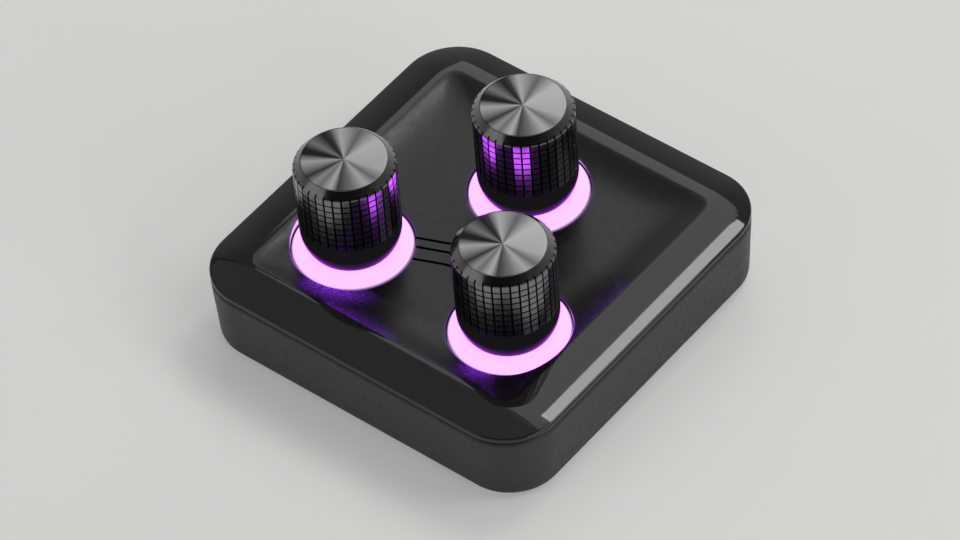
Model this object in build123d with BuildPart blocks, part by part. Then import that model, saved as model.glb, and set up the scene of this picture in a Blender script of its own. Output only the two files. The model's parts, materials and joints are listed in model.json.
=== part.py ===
from build123d import *
import os
from math import atan, degrees, radians, sqrt, tan

os.makedirs("parts", exist_ok=True)

# Driving dimensions in millimetres. +Z is up and the origin lies under the middle of the feet.

# Lower case: a square tray whose sides lean in a little towards the table
case_side = 61.0
case_corner_radius = 8.6
case_height = 11.5
case_lean = 0.6
case_wall = 1.8
case_floor = 1.4
case_top_round = 0.7
case_bottom_round = 1.0

# Rubber feet, which also hide the case screws
foot_radius = 3.5
foot_proud = 0.6
foot_pocket_depth = 0.6
foot_bevel = 0.2

# Cover: a glossy pillowed rim with a ledge for the deck and a tongue inside the case wall
shadow_gap = 0.35
skirt_height = 0.7
skirt_round = 0.4
rim_width = 6.45
crest_rise = 1.15
rim_bulge = 0.19
ledge_width = 1.5
ledge_thickness = 1.2
cover_wall = 1.6
tongue_thickness = 1.2
tongue_depth = 2.5

# Deck: a matt panel, dished between the rim's crests
deck_thickness = 1.4
dish_depth = 1.3
cove_width = 7.25
deck_brim = 0.2
dish_floor_corner = 5.0
cove_shares = (0, 0.35, 0.7, 1)

# Three fine lines across the deck, from one front ring to the other, each with its peak over the front row
line_width = 0.42
line_depth = 0.3
line_angle = 21.5
line_rises = (9.25, 7.4, 4.85)
line_bend_radius = 5.0
line_end_share = 0.7

# Knob places: two in the front row and one behind them, spread over the room that the deck has
ring_web = 0.41
front_row_share = 0.787
rear_row_share = 0.78

# Knob: an anodised shell with a fluted grip, a plastic core and a spun disc let into the top
knob_radius = 7.5
knob_height = 17.0
knob_gap = 0.75
knob_base_inset = 1.35
knob_base_height = 3.9
knob_chamfer_width = 1.2
knob_chamfer_height = 1.15
knob_shell_wall = 0.4
knob_top_wall = 1.0
disc_thickness = 0.5
flute_count = 36
flute_width = 0.36
flute_depth = 0.35
flute_length = 10.0

# Encoder: a plastic base under a metal bush, with a turning rotor and a sliding shaft
encoder_width = 11.7
encoder_depth = 12.0
encoder_floor = 0.4
bush_plate = 0.6
bush_wall = 0.5
bush_proud = 2.2
lug_thickness = 0.3
lug_width = 2.2
rotor_radius = 4.8
rotor_thickness = 0.8
shaft_radius = 3.0
shaft_flat = 1.5
shaft_key = 2.2
shaft_grip = 10.0
collar_width = 0.8
collar_thickness = 0.4
push_travel = 0.5
dome_radius = 2.2
dome_height = 0.6
dome_sheet = 0.12

# Light ring, with its lamps on a round board on top of the encoder
ring_radius = 9.02
ring_gap = 0.15
ring_bore_gap = 0.7
ring_thickness = 1.2
ring_skirt = 0.8
ring_bevel = 0.4
light_board_thickness = 0.8
lamp_count = 8
lamp_side = 1.6
lamp_height = 0.6
lamp_margin = 1.05

# Main board and what is soldered to it
board_margin = 2.7
board_thickness = 1.2
board_stand = 1.5
chip_side = 6.0
chip_height = 0.9
chip_y = -5.0
usb_width = 8.94
usb_height = 3.26
usb_length = 7.4
usb_sheet = 0.35
usb_tongue_width = 6.7
usb_tongue_thickness = 0.7
usb_inset = 0.8

# Screws and the posts that take them
screw_radius = 1.0
screw_head_radius = 1.9
screw_head_height = 1.2
screw_end_wall = 2.0
board_screw_length = 2.4
drive_radius = 0.6
drive_depth = 0.6
boss_radius = 3.0
boss_height = 4.0
boss_inset = 2.0
stand_radius = 2.2
stand_inset = 3.35
stand_margin = 2.8

# Clearances
running_clearance = 0.05
fit_clearance = 0.03
panel_clearance = 0.08
loose_clearance = 0.25
air_gap = 0.2
overrun = 2.0

# Heights and places that follow from the sizes above
case_half = case_side / 2
case_bottom_z = foot_proud
case_top_z = case_bottom_z + case_height
floor_z = case_bottom_z + case_floor
case_slope = degrees(atan(case_lean / case_height))

skirt_z = case_top_z + shadow_gap
shoulder_z = skirt_z + skirt_height
crest_z = shoulder_z + crest_rise
crest_half = case_half - rim_width
ledge_half = crest_half - ledge_width
dish_z = crest_z - dish_depth
ledge_z = dish_z - deck_thickness
tongue_half = case_half - case_wall - loose_clearance

deck_half = crest_half - panel_clearance
deck_corner = case_corner_radius - rim_width - panel_clearance
ring_hole_radius = ring_radius + ring_gap

row_room = deck_half - ring_hole_radius
knob_row_x = row_room - ring_web
front_row_y = -front_row_share * row_room
rear_row_y = rear_row_share * row_room

washer_z = dish_z - ring_thickness
light_board_top_z = washer_z - air_gap - lamp_height
encoder_top_z = light_board_top_z - light_board_thickness
lamp_circle_radius = ring_radius - ring_skirt - lamp_margin - lamp_side / 2

board_z = floor_z + board_stand
board_top_z = board_z + board_thickness
bush_radius = shaft_radius + bush_wall
collar_radius = shaft_radius + collar_width
bush_z = encoder_top_z - bush_plate
bush_top_z = dish_z + bush_proud
collar_top_z = bush_z - running_clearance
rotor_top_z = collar_top_z - collar_thickness - push_travel - running_clearance
rotor_z = rotor_top_z - rotor_thickness
rotor_seat_z = rotor_z - running_clearance
rotor_pocket_radius = rotor_radius + running_clearance
switch_z = board_top_z + encoder_floor
shaft_z = switch_z + dome_height + fit_clearance

knob_z = dish_z + knob_gap
knob_top_z = knob_z + knob_height
knob_base_radius = knob_radius - knob_base_inset
core_radius = knob_base_radius - knob_shell_wall
core_z = bush_top_z + push_travel + loose_clearance
disc_radius = knob_radius - knob_chamfer_width - fit_clearance
core_top_z = knob_top_z - disc_thickness - knob_top_wall
shaft_top_z = core_z + shaft_grip

boss_place = case_half - case_corner_radius + boss_inset
boss_top_z = floor_z + boss_height
head_z = case_bottom_z + foot_pocket_depth + screw_head_height + air_gap
case_screw_length = ledge_z - screw_end_wall - head_z

board_side = case_side - 2 * (case_wall + board_margin)
notch_half = boss_place - boss_radius - loose_clearance
notch_side = board_side / 2 - notch_half
stand_x = notch_half - stand_inset
stand_y = board_side / 2 - stand_margin

knob_places = {
    "left": (-knob_row_x, front_row_y),
    "right": (knob_row_x, front_row_y),
    "rear": (0, rear_row_y),
}


def level(z):
    """A horizontal sketch plane at a height over the table."""
    return Plane.XY.offset(z)


def level_at(place, z):
    """A horizontal sketch plane over one knob's axis."""
    return Plane(origin=(*place, z))


def upright_at(place):
    """An upright sketch plane through one knob's axis: its x is outwards and its y is height."""
    return Plane(origin=(*place, 0), x_dir=(1, 0, 0), z_dir=(0, -1, 0))


def axis_at(place):
    """One knob's upright axis."""
    return Axis((*place, 0), (0, 0, 1))


def save(builder, name):
    """Label a finished piece and write it under its own name."""
    builder.part.label = name
    export_step(builder.part, f"parts/{name}.step")


# Lower case: leaning outer walls, hollow, with bosses, board stands and a port in the rear wall
bottom_side = case_side - 2 * case_lean
bottom_corner = case_corner_radius - case_lean
cavity_lean = case_lean * (case_height - case_floor) / case_height
usb_mid_z = board_top_z + usb_height / 2
with BuildPart() as lower_case:
    with BuildSketch(level(case_bottom_z)):
        RectangleRounded(bottom_side, bottom_side, bottom_corner)
    extrude(amount=case_height, taper=-case_slope)
    outer_edges = lower_case.edges().group_by(Axis.Z)
    fillet(outer_edges[-1], case_top_round)
    fillet(lower_case.edges().group_by(Axis.Z)[0], case_bottom_round)
    with BuildSketch(level(floor_z)):
        cavity_side = case_side - 2 * (case_wall + cavity_lean)
        RectangleRounded(cavity_side, cavity_side, case_corner_radius - case_wall - cavity_lean)
    extrude(amount=case_height - case_floor, taper=-case_slope, mode=Mode.SUBTRACT)
    with BuildSketch(level(floor_z)):
        with GridLocations(2 * boss_place, 2 * boss_place, 2, 2):
            Circle(boss_radius)
    extrude(amount=boss_height)
    with BuildSketch(level(floor_z)):
        with GridLocations(2 * stand_x, 2 * stand_y, 2, 2):
            Circle(stand_radius)
    extrude(amount=board_stand)
    with BuildSketch(level(case_bottom_z)):
        with GridLocations(2 * boss_place, 2 * boss_place, 2, 2):
            Circle(foot_radius + fit_clearance)
    extrude(amount=foot_pocket_depth, mode=Mode.SUBTRACT)
    with BuildSketch(level(case_bottom_z)):
        with GridLocations(2 * boss_place, 2 * boss_place, 2, 2):
            Circle(screw_head_radius + air_gap)
    extrude(amount=head_z - case_bottom_z, mode=Mode.SUBTRACT)
    with BuildSketch(level(head_z)):
        with GridLocations(2 * boss_place, 2 * boss_place, 2, 2):
            Circle(screw_radius + air_gap)
    extrude(amount=boss_top_z - head_z, mode=Mode.SUBTRACT)
    with BuildSketch(level(board_top_z - board_screw_length - air_gap)):
        with GridLocations(2 * stand_x, 2 * stand_y, 2, 2):
            Circle(screw_radius + fit_clearance)
    extrude(amount=board_screw_length, mode=Mode.SUBTRACT)
    with BuildSketch(Plane.XZ.offset(-case_half - overrun)):
        with Locations((0, usb_mid_z)):
            SlotOverall(usb_width + 2 * loose_clearance, usb_height + 2 * loose_clearance)
    extrude(amount=case_wall + case_lean + 2 * overrun, mode=Mode.SUBTRACT)
save(lower_case, "lower_case")

# Cover: one section carried round a quarter of the case, then mirrored to the other three
with BuildPart() as cover:
    with BuildLine() as cover_path:
        Line((case_half, 0), (case_half, case_half - case_corner_radius))
        corner_centre = case_half - case_corner_radius
        CenterArc((corner_centre, corner_centre), case_corner_radius, 0, 90)
        Line((corner_centre, case_half), (0, case_half))
    with BuildSketch(Plane.XZ) as cover_section:
        with BuildLine():
            shoulder = Line((case_half, skirt_z), (case_half, shoulder_z))
            pillow = SagittaArc(shoulder @ 1, (crest_half, crest_z), rim_bulge)
            web_half = crest_half + cover_wall
            Polyline(
                pillow @ 1,
                (crest_half, ledge_z - ledge_thickness),
                (web_half, ledge_z - ledge_thickness),
                (web_half, skirt_z),
                (tongue_half - tongue_thickness, skirt_z),
                (tongue_half - tongue_thickness, skirt_z - tongue_depth),
                (tongue_half, skirt_z - tongue_depth),
                (tongue_half, skirt_z),
                (case_half, skirt_z),
            )
        make_face()
        outer_corners = cover_section.vertices().group_by(Axis.X)[-1]
        fillet(outer_corners.sort_by(Axis.Z)[-1], skirt_round)
    sweep(path=cover_path.wire())
    mirror(about=Plane.XZ)
    mirror(about=Plane.YZ)
    with BuildSketch(level(ledge_z - ledge_thickness)):
        RectangleRounded(2 * web_half, 2 * web_half, case_corner_radius - case_half + web_half)
        Rectangle(2 * ledge_half, 2 * ledge_half, mode=Mode.SUBTRACT)
    extrude(amount=ledge_thickness)
    with BuildSketch(level(boss_top_z)):
        with GridLocations(2 * boss_place, 2 * boss_place, 2, 2):
            Circle(boss_radius)
    extrude(amount=ledge_z - boss_top_z)
    with BuildSketch(level(boss_top_z)):
        with GridLocations(2 * boss_place, 2 * boss_place, 2, 2):
            Circle(screw_radius + fit_clearance)
    extrude(amount=head_z + case_screw_length + air_gap - boss_top_z, mode=Mode.SUBTRACT)
    with BuildSketch(level(ledge_z - ledge_thickness)):
        with Locations(*knob_places.values()):
            Circle(ring_hole_radius)
    extrude(amount=ledge_thickness, mode=Mode.SUBTRACT)
save(cover, "cover")

# Deck: a plate let into the cover, dished by a loft of ever larger squares, with three round holes
dish_top_half = deck_half - deck_brim
dish_floor_half = dish_top_half - cove_width
dish_top_corner = deck_corner - deck_brim
cove_radius = (cove_width**2 + dish_depth**2) / (2 * dish_depth)
line_reach = knob_row_x - line_end_share * ring_hole_radius
with BuildPart() as deck:
    with BuildSketch(level(ledge_z)):
        RectangleRounded(2 * deck_half, 2 * deck_half, deck_corner)
    extrude(amount=crest_z - ledge_z)
    for share in cove_shares:
        out = share * cove_width
        rise = cove_radius - sqrt(cove_radius**2 - out**2)
        corner = dish_floor_corner + share * (dish_top_corner - dish_floor_corner)
        with BuildSketch(level(dish_z + rise)):
            RectangleRounded(2 * (dish_floor_half + out), 2 * (dish_floor_half + out), corner)
    loft(mode=Mode.SUBTRACT)
    with BuildSketch(level(ledge_z)):
        with Locations(*knob_places.values()):
            Circle(ring_hole_radius)
    extrude(amount=crest_z - ledge_z, mode=Mode.SUBTRACT)
    for rise in line_rises:
        peak = front_row_y + rise
        foot = peak - line_reach * tan(radians(line_angle))
        corners = ((-line_reach, foot), (0, peak), (line_reach, foot))
        with BuildSketch(level(dish_z + line_depth)):
            with BuildLine():
                FilletPolyline(*corners, radius=line_bend_radius)
            trace(line_width=line_width)
        extrude(amount=-2 * line_depth, mode=Mode.SUBTRACT)
save(deck, "deck")

# Main board, its controller and the port that stands over its rear edge
with BuildPart() as main_board:
    with BuildSketch(level(board_z)):
        Rectangle(board_side, board_side)
        with GridLocations(board_side - notch_side, board_side - notch_side, 2, 2):
            Rectangle(notch_side, notch_side, mode=Mode.SUBTRACT)
        with GridLocations(2 * stand_x, 2 * stand_y, 2, 2):
            Circle(screw_radius + air_gap, mode=Mode.SUBTRACT)
    extrude(amount=board_thickness)
save(main_board, "main_board")

with BuildPart() as controller_chip:
    with BuildSketch(level(board_top_z)):
        with Locations((0, chip_y)):
            Rectangle(chip_side, chip_side)
    extrude(amount=chip_height)
    chamfer(controller_chip.edges().group_by(Axis.Z)[-1], chip_height / 4)
save(controller_chip, "controller_chip")

usb_face_y = case_half - case_lean - usb_inset
with BuildPart() as usb_socket:
    with BuildSketch(Plane.XZ.offset(-usb_face_y)):
        with Locations((0, usb_mid_z)):
            SlotOverall(usb_width, usb_height)
    extrude(amount=usb_length)
    with BuildSketch(Plane.XZ.offset(-usb_face_y)):
        with Locations((0, usb_mid_z)):
            SlotOverall(usb_width - 2 * usb_sheet, usb_height - 2 * usb_sheet)
    extrude(amount=usb_length - 2 * usb_sheet, mode=Mode.SUBTRACT)
    with BuildSketch(Plane.XZ.offset(usb_sheet - usb_face_y)):
        with Locations((0, usb_mid_z)):
            Rectangle(usb_tongue_width, usb_tongue_thickness)
    extrude(amount=usb_length - 2 * usb_sheet)
save(usb_socket, "usb_socket")

# Rubber feet and the two sets of screws
with BuildPart() as rubber_feet:
    with BuildSketch(level(0)):
        with GridLocations(2 * boss_place, 2 * boss_place, 2, 2):
            Circle(foot_radius)
    extrude(amount=foot_proud + foot_pocket_depth)
    chamfer(rubber_feet.edges().group_by(Axis.Z)[0], foot_bevel)
save(rubber_feet, "rubber_feet")

with BuildPart() as case_screws:
    with BuildSketch(level(head_z - screw_head_height)):
        with GridLocations(2 * boss_place, 2 * boss_place, 2, 2):
            Circle(screw_head_radius)
    extrude(amount=screw_head_height)
    with BuildSketch(level(head_z)):
        with GridLocations(2 * boss_place, 2 * boss_place, 2, 2):
            Circle(screw_radius)
    extrude(amount=case_screw_length)
    with BuildSketch(level(head_z - screw_head_height)):
        with GridLocations(2 * boss_place, 2 * boss_place, 2, 2):
            RegularPolygon(drive_radius, 6)
    extrude(amount=drive_depth, mode=Mode.SUBTRACT)
save(case_screws, "case_screws")

with BuildPart() as board_screws:
    with BuildSketch(level(board_top_z)):
        with GridLocations(2 * stand_x, 2 * stand_y, 2, 2):
            Circle(screw_head_radius)
    extrude(amount=screw_head_height)
    with BuildSketch(level(board_top_z - board_screw_length)):
        with GridLocations(2 * stand_x, 2 * stand_y, 2, 2):
            Circle(screw_radius)
    extrude(amount=board_screw_length)
    with BuildSketch(level(board_top_z + screw_head_height - drive_depth)):
        with GridLocations(2 * stand_x, 2 * stand_y, 2, 2):
            RegularPolygon(drive_radius, 6)
    extrude(amount=drive_depth, mode=Mode.SUBTRACT)
save(board_screws, "board_screws")


def encoder_base(place, name):
    """Plastic box with a pocket for the rotor and a smaller chamber for the switch under the shaft."""
    with BuildPart() as base:
        with BuildSketch(level_at(place, board_top_z)):
            Rectangle(encoder_width - 2 * (lug_thickness + fit_clearance), encoder_depth)
        extrude(amount=bush_z - board_top_z)
        with BuildSketch(level_at(place, rotor_seat_z)):
            Circle(rotor_pocket_radius)
        extrude(amount=bush_z - rotor_seat_z, mode=Mode.SUBTRACT)
        with BuildSketch(level_at(place, switch_z)):
            Circle(shaft_radius + air_gap)
        extrude(amount=rotor_seat_z - switch_z, mode=Mode.SUBTRACT)
    save(base, f"encoder_base_{name}")


def encoder_bush(place, name):
    """Metal top plate with the shaft's bush on it and two lugs bent down to the board."""
    lug_x = encoder_width - lug_thickness
    with BuildPart() as bush:
        with BuildSketch(level_at(place, bush_z)):
            Rectangle(encoder_width, encoder_depth)
        extrude(amount=bush_plate)
        with BuildSketch(level_at(place, encoder_top_z)):
            Circle(bush_radius)
        extrude(amount=bush_top_z - encoder_top_z)
        chamfer(bush.edges().group_by(Axis.Z)[-1], bush_plate / 2)
        with BuildSketch(level_at(place, bush_z)):
            with GridLocations(lug_x, 0, 2, 1):
                Rectangle(lug_thickness, lug_width)
        extrude(amount=board_top_z - bush_z)
        with BuildSketch(level_at(place, bush_z)):
            Circle(shaft_radius + running_clearance)
        extrude(amount=bush_top_z - bush_z, mode=Mode.SUBTRACT)
    save(bush, f"encoder_bush_{name}")


def encoder_rotor(place, name):
    """Turning contact disc, keyed to the shaft by a hole with two flats."""
    with BuildPart() as rotor:
        with BuildSketch(level_at(place, rotor_z)):
            Circle(rotor_radius)
            with BuildSketch(mode=Mode.SUBTRACT):
                Circle(shaft_radius + running_clearance)
                key = 2 * (shaft_key + running_clearance)
                Rectangle(2 * rotor_radius, key, mode=Mode.INTERSECT)
        extrude(amount=rotor_thickness)
    save(rotor, f"encoder_rotor_{name}")


def shaft(place, name):
    """Shaft that slides in the rotor on two flats, with a collar under the bush and a flat for the knob."""
    with BuildPart() as rod:
        with BuildSketch(level_at(place, shaft_z)):
            Circle(shaft_radius)
        extrude(amount=shaft_top_z - shaft_z)
        with BuildSketch(level_at(place, shaft_z)):
            Circle(shaft_radius + overrun)
            Rectangle(2 * (shaft_radius + overrun), 2 * shaft_key, mode=Mode.SUBTRACT)
        extrude(amount=collar_top_z - collar_thickness - shaft_z, mode=Mode.SUBTRACT)
        with BuildSketch(level_at(place, collar_top_z - collar_thickness)):
            Circle(collar_radius)
        extrude(amount=collar_thickness)
        with BuildSketch(level_at(place, core_z)):
            with Locations((0, shaft_flat + shaft_radius)):
                Rectangle(2 * (shaft_radius + overrun), 2 * shaft_radius)
        extrude(amount=shaft_grip, mode=Mode.SUBTRACT)
    save(rod, f"shaft_{name}")


def switch_dome(place, name):
    """Snap dome under the shaft, which gives the push its click and lifts the knob back."""
    dome_sphere = (dome_radius**2 + dome_height**2) / (2 * dome_height)
    with BuildPart() as dome:
        with BuildSketch(upright_at(place)):
            with BuildLine():
                outside = RadiusArc((dome_radius, switch_z), (0, switch_z + dome_height), -dome_sphere)
                down = Line(outside @ 1, (0, switch_z + dome_height - dome_sheet))
                inside = RadiusArc(down @ 1, (dome_radius - dome_sheet, switch_z), dome_sphere)
                Line(inside @ 1, outside @ 0)
            make_face()
        revolve(axis=axis_at(place))
    save(dome, f"switch_dome_{name}")


def light_board(place, name):
    """Round board on top of the encoder, under the light ring."""
    with BuildPart() as board:
        with BuildSketch(level_at(place, encoder_top_z)):
            Circle(ring_radius)
            Circle(bush_radius + loose_clearance, mode=Mode.SUBTRACT)
        extrude(amount=light_board_thickness)
    save(board, f"light_board_{name}")


def lamps(place, name):
    """Ring of small surface-mounted lamps on the round board."""
    with BuildPart() as lights:
        with BuildSketch(level_at(place, light_board_top_z)):
            with PolarLocations(lamp_circle_radius, lamp_count):
                Rectangle(lamp_side, lamp_side)
        extrude(amount=lamp_height)
    save(lights, f"lamps_{name}")


def light_ring(place, name):
    """Frosted diffuser: a washer flush with the deck's floor on a skirt that stands on the round board."""
    ring_bore = bush_radius + ring_bore_gap
    with BuildPart() as ring:
        with BuildSketch(upright_at(place)) as ring_section:
            with BuildLine():
                Polyline(
                    (ring_radius, light_board_top_z),
                    (ring_radius, dish_z),
                    (ring_bore, dish_z),
                    (ring_bore, washer_z),
                    (ring_radius - ring_skirt, washer_z),
                    (ring_radius - ring_skirt, light_board_top_z),
                    close=True,
                )
            make_face()
            top_corners = ring_section.vertices().group_by(Axis.Z)[-1]
            chamfer(top_corners.sort_by(Axis.X)[-1], ring_bevel)
        revolve(axis=axis_at(place))
    save(ring, f"light_ring_{name}")


def knob_shell(place, name):
    """Turned shell: rounded in at the base, chamfered at the top, with flutes cut down the grip."""
    edge_z = knob_top_z - knob_chamfer_height
    with BuildPart() as shell:
        with BuildSketch(upright_at(place)):
            with BuildLine():
                sweep_in = knob_radius - knob_base_radius
                base_radius = (sweep_in**2 + knob_base_height**2) / (2 * sweep_in)
                grip_start = (knob_radius, knob_z + knob_base_height)
                base = RadiusArc((knob_base_radius, knob_z), grip_start, -base_radius)
                Polyline(
                    base @ 1,
                    (knob_radius, edge_z),
                    (knob_radius - knob_chamfer_width, knob_top_z),
                    (knob_radius - knob_chamfer_width, knob_top_z - disc_thickness),
                    (0, knob_top_z - disc_thickness),
                    (0, core_top_z),
                    (core_radius, core_top_z),
                    (core_radius, knob_z),
                    base @ 0,
                )
            make_face()
        revolve(axis=axis_at(place))
        with BuildSketch(level_at(place, edge_z - flute_length)):
            with PolarLocations(knob_radius, flute_count):
                Rectangle(2 * flute_depth, flute_width)
        extrude(amount=flute_length + knob_chamfer_height, mode=Mode.SUBTRACT)
    save(shell, f"knob_shell_{name}")


def knob_core(place, name):
    """Plastic core inside the shell, with the blind hole that grips the shaft's flat."""
    with BuildPart() as core:
        with BuildSketch(level_at(place, core_z)):
            Circle(core_radius - fit_clearance)
        extrude(amount=core_top_z - core_z)
        with BuildSketch(level_at(place, core_z)):
            Circle(shaft_radius + fit_clearance)
            with Locations((0, shaft_flat + fit_clearance + shaft_radius)):
                Rectangle(2 * (shaft_radius + overrun), 2 * shaft_radius, mode=Mode.SUBTRACT)
        extrude(amount=shaft_grip + air_gap, mode=Mode.SUBTRACT)
    save(core, f"knob_core_{name}")


def knob_disc(place, name):
    """Spun aluminium disc let into the knob's top."""
    with BuildPart() as disc:
        with BuildSketch(level_at(place, knob_top_z - disc_thickness)):
            Circle(disc_radius)
        extrude(amount=disc_thickness)
    save(disc, f"knob_disc_{name}")


for knob_name, knob_place in knob_places.items():
    encoder_base(knob_place, knob_name)
    encoder_bush(knob_place, knob_name)
    encoder_rotor(knob_place, knob_name)
    shaft(knob_place, knob_name)
    switch_dome(knob_place, knob_name)
    light_board(knob_place, knob_name)
    lamps(knob_place, knob_name)
    light_ring(knob_place, knob_name)
    knob_shell(knob_place, knob_name)
    knob_core(knob_place, knob_name)
    knob_disc(knob_place, knob_name)
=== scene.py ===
import json
import math
import bmesh
import bpy
from mathutils import Matrix, Vector
from mathutils.geometry import delaunay_2d_cdt


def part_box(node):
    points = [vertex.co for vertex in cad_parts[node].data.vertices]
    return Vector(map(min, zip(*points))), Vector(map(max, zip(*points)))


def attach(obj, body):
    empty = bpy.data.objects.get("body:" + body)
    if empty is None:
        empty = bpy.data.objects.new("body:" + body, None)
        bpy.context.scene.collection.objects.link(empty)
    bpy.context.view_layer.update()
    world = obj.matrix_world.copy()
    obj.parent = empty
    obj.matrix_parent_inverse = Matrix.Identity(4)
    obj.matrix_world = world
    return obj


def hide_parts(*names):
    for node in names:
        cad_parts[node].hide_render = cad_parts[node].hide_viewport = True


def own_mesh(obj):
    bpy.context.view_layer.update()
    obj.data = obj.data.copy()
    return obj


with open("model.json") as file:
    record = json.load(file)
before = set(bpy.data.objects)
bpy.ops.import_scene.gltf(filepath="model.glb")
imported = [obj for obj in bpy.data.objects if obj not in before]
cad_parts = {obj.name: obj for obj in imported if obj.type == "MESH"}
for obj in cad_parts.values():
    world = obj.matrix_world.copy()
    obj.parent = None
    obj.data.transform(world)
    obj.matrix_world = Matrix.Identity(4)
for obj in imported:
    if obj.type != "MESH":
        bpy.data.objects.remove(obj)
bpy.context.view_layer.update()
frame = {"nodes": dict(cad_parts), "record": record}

# Lengths in this script are millimetres, in the frame's own axes, unless a name says otherwise
MM = 0.001


def node_box(node):
    """Lowest and highest corner of a CAD node, in millimetres."""
    low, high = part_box(node)
    return low / MM, high / MM


# Sizes that come from the frame
_, cover_high = node_box("cover")
case_low, case_high = node_box("lower_case")
deck_low, deck_high = node_box("deck")
ring_low, ring_high = node_box("light_ring_rear")
shell_low, shell_high = node_box("knob_shell_rear")
disc_low, disc_high = node_box("knob_disc_rear")
socket_low, socket_high = node_box("usb_socket")
foot_low, foot_high = node_box("rubber_feet")
case_half = cover_high.x
crest_z = cover_high.z
case_bottom_z = case_low.z
case_top_z = case_high.z
deck_half = deck_high.x
ledge_z = deck_low.z
dish_z = ring_high.z
ring_low_z = ring_low.z
ring_radius = ring_high.x
knob_radius = shell_high.x
knob_z = shell_low.z
knob_top_z = shell_high.z
disc_radius = disc_high.x
disc_z = disc_low.z
knob_places = {}
for knob_name in ("left", "right", "rear"):
    low, high = node_box(f"light_ring_{knob_name}")
    knob_places[knob_name] = ((low.x + high.x) / 2, (low.y + high.y) / 2)

# Lower case
case_corner = 8.6
case_lean = 0.6
case_wall = 1.8
case_floor = 1.4
case_top_round = 0.7
case_bottom_round = 1.0
case_inner_round = 0.3
case_cap_inset = 4.0
port_clearance = 0.25
foot_radius = 3.53
foot_pocket = 0.6

# Cover
shadow_gap = 0.35
skirt_height = 0.7
skirt_round = 0.4
skirt_low_round = 0.12
rim_width = 6.45
rim_bulge = 0.19
crest_round = 0.06
ledge_width = 0.45
ledge_thickness = 1.2
cover_wall = 1.6
tongue_gap = 2.05
tongue_thickness = 1.2
tongue_depth = 2.5

# Deck
cove_width = 7.25
cove_tries = 24
deck_brim = 0.06
deck_gap = 0.01
dish_floor_corner = 5.0
hole_gap = 0.15
hole_bevel = 0.1
line_width = 0.5
line_depth = 0.3
line_wall = 0.03
line_angle = 21.5
line_rises = (9.25, 7.4, 4.85)
line_end_share = 0.7
line_bend = 0.8
deck_grid = 0.8

# Light rings
ring_bore = 4.2
ring_skirt = 0.8
ring_thickness = 1.2
ring_round = 0.45
ring_inner_round = 0.1

# Knobs
knob_base_inset = 1.35
knob_base_lift = 0.15
knob_base_height = 3.9
knob_base_round = 0.15
knob_chamfer_width = 1.2
knob_chamfer_height = 1.15
knob_lip_round = 0.06
knob_bore = 5.75
knob_top_wall = 1.0
flute_count = 36
flute_width = 0.27
flute_depth = 0.35
flute_slope = 0.04
flute_tail = 0.45
pad_points = 5
grip_height = 10.29
pad_rows = 9
row_gap = 0.24
row_depth = 0.2
row_slope = 0.03
grip_bevel = 0.08
disc_bevel = 0.07

# Snap domes: the thickness of their sheet, and the steps along their curve
dome_sheet = 0.12
dome_steps = 8

# Fineness of the round forms
corner_steps = 16
turn_steps = 128
round_steps = 5
pillow_steps = 16
support = 0.12
long_run = 0.48
sharp_angle = math.radians(28)
knob_sharp_angle = math.radians(17)

# Places that follow
skirt_z = case_top_z + shadow_gap
shoulder_z = skirt_z + skirt_height
crest_half = case_half - rim_width
panel_half = crest_half - deck_gap
hole_radius = ring_radius + hole_gap
dish_depth = crest_z - dish_z
dish_top_half = deck_half - deck_brim
dish_floor_half = dish_top_half - cove_width
cove_radius = (cove_width**2 + dish_depth**2) / (2 * dish_depth)
deck_corner = case_corner - (case_half - deck_half)
line_reach = knob_places["right"][0] - line_end_share * hole_radius
grip_top_z = knob_top_z - knob_chamfer_height
grip_z = grip_top_z - grip_height

# Most of a noise lies between these values
noise_low = 0.3
noise_high = 0.7

# Finishes: tone, variation of the tone, roughness, size of the grain, depth of the grain, metal share
finishes = {
    "case_plastic": ((0.031, 0.031, 0.032), 0.015, 0.5, 0.16, 0.003, 0.0),
    "cover_gloss": ((0.02, 0.02, 0.0205), 0.05, 0.05, 1.5, 0.0003, 0.0),
    "deck_matt": ((0.006, 0.006, 0.0061), 0.12, 0.31, 0.22, 0.007, 0.0),
    "knob_anodised": ((0.2, 0.2, 0.202), 0.08, 0.16, 0.12, 0.0006, 1.0),
    "pad_polish": ((0.24, 0.24, 0.242), 0.06, 0.2, 0.3, 0.0004, 1.0),
    "knob_matt": ((0.005, 0.005, 0.0051), 0.1, 0.5, 0.12, 0.001, 0.0),
    "knob_base": ((0.0012, 0.0012, 0.0013), 0.1, 0.14, 0.12, 0.0004, 0.0),
    "groove_black": ((0.002, 0.002, 0.002), 0.1, 0.7, 0.2, 0.002, 0.0),
    "core_plastic": ((0.03, 0.03, 0.03), 0.1, 0.5, 0.2, 0.004, 0.0),
    "encoder_plastic": ((0.035, 0.035, 0.038), 0.15, 0.55, 0.2, 0.006, 0.0),
    "board_laminate": ((0.015, 0.06, 0.035), 0.2, 0.4, 0.4, 0.004, 0.0),
    "chip_resin": ((0.02, 0.02, 0.02), 0.15, 0.6, 0.1, 0.004, 0.0),
    "bright_steel": ((0.6, 0.6, 0.6), 0.06, 0.3, 0.15, 0.002, 1.0),
    "dark_steel": ((0.06, 0.06, 0.065), 0.1, 0.4, 0.15, 0.003, 1.0),
    "foot_rubber": ((0.02, 0.02, 0.02), 0.15, 0.75, 0.2, 0.01, 0.0),
    "lamp_resin": ((0.85, 0.85, 0.8), 0.04, 0.4, 0.2, 0.002, 0.0),
    "floor_paper": ((0.78, 0.775, 0.77), 0.01, 0.9, 4.0, 0.02, 0.0),
}

# In each finish, clouds of tone and patches of gloss are so many times the size of the grain
cloud_size = 12
cloud_detail = 3
patch_size = 5
gloss_vary = 0.12
grain_detail = 2
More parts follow.
